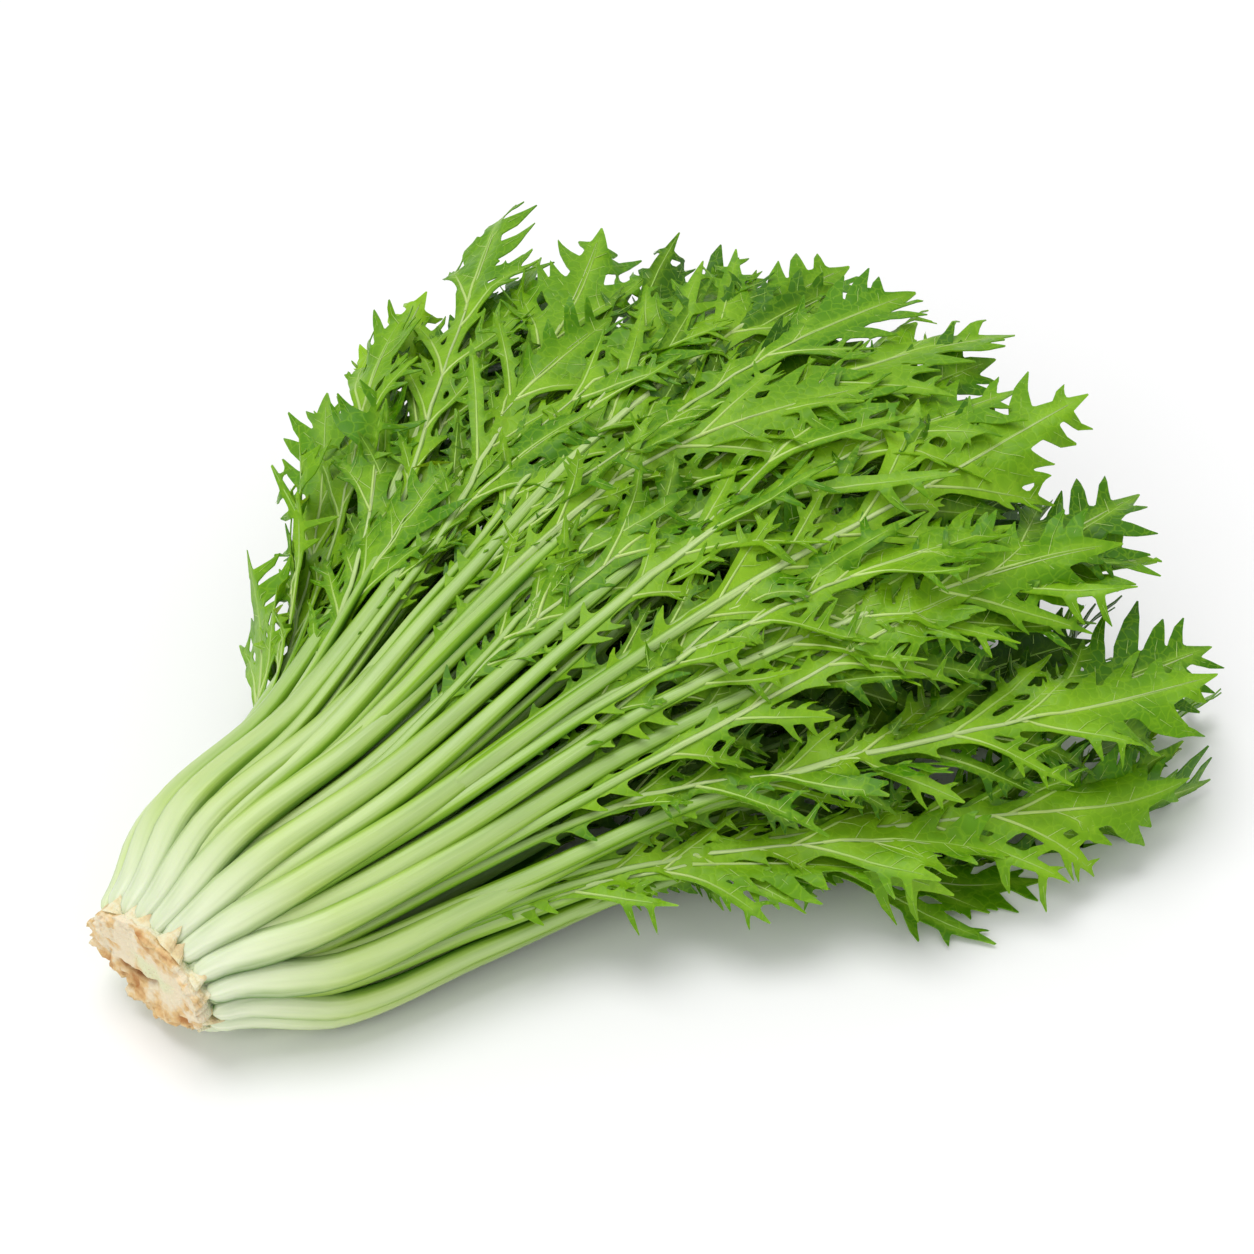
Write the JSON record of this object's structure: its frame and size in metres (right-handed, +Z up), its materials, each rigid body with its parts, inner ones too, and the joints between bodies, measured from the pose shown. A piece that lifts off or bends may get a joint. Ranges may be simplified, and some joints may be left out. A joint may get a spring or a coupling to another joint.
{
  "type": "mizuna bunch",
  "caption": "Bunch of mizuna greens lying on its side: pale stalks fan out from one trimmed crown into deeply cut, toothed green leaves.",
  "frame": {"origin": "centre of the bunch's box, on the surface it lies on", "axes": "+Z up; +X along the bunch, from the crown's cut face towards the leaf tips; -Y is the side that sags lower"},
  "size_m": [0.3848, 0.3286, 0.1136],
  "materials": {
    "crown": "dry, rough cut end, cream with a brown oxidised rim",
    "outer_leaf": "smooth pale green stalk running into a mid green, softly glossy, deeply cut blade",
    "middle_leaf": "smooth pale green stalk running into a mid green, softly glossy, deeply cut blade",
    "inner_leaf": "paler green stalk and blade, softly glossy",
    "heart_leaf": "youngest, yellow green stalk and blade, softly glossy"
  },
  "bodies": {
    "root": {"crown": "crown", "outer_leaf_01": "outer_leaf", "outer_leaf_02": "outer_leaf", "outer_leaf_03": "outer_leaf", "outer_leaf_04": "outer_leaf", "outer_leaf_05": "outer_leaf", "outer_leaf_06": "outer_leaf", "outer_leaf_07": "outer_leaf", "outer_leaf_08": "outer_leaf", "outer_leaf_09": "outer_leaf", "outer_leaf_10": "outer_leaf", "outer_leaf_11": "outer_leaf", "outer_leaf_12": "outer_leaf", "outer_leaf_13": "outer_leaf", "outer_leaf_14": "outer_leaf", "outer_leaf_15": "outer_leaf", "outer_leaf_16": "outer_leaf", "outer_leaf_17": "outer_leaf", "outer_leaf_18": "outer_leaf", "outer_leaf_19": "outer_leaf", "outer_leaf_20": "outer_leaf", "middle_leaf_01": "middle_leaf", "middle_leaf_02": "middle_leaf", "middle_leaf_03": "middle_leaf", "middle_leaf_04": "middle_leaf", "middle_leaf_05": "middle_leaf", "middle_leaf_06": "middle_leaf", "middle_leaf_07": "middle_leaf", "middle_leaf_08": "middle_leaf", "middle_leaf_09": "middle_leaf", "middle_leaf_10": "middle_leaf", "middle_leaf_11": "middle_leaf", "middle_leaf_12": "middle_leaf", "middle_leaf_13": "middle_leaf", "middle_leaf_14": "middle_leaf", "inner_leaf_01": "inner_leaf", "inner_leaf_02": "inner_leaf", "inner_leaf_03": "inner_leaf", "inner_leaf_04": "inner_leaf", "inner_leaf_05": "inner_leaf", "inner_leaf_06": "inner_leaf", "inner_leaf_07": "inner_leaf", "inner_leaf_08": "inner_leaf", "inner_leaf_09": "inner_leaf", "inner_leaf_10": "inner_leaf", "heart_leaf_01": "heart_leaf", "heart_leaf_02": "heart_leaf", "heart_leaf_03": "heart_leaf", "heart_leaf_04": "heart_leaf", "heart_leaf_05": "heart_leaf", "heart_leaf_06": "heart_leaf"}
  },
  "joints": []
}
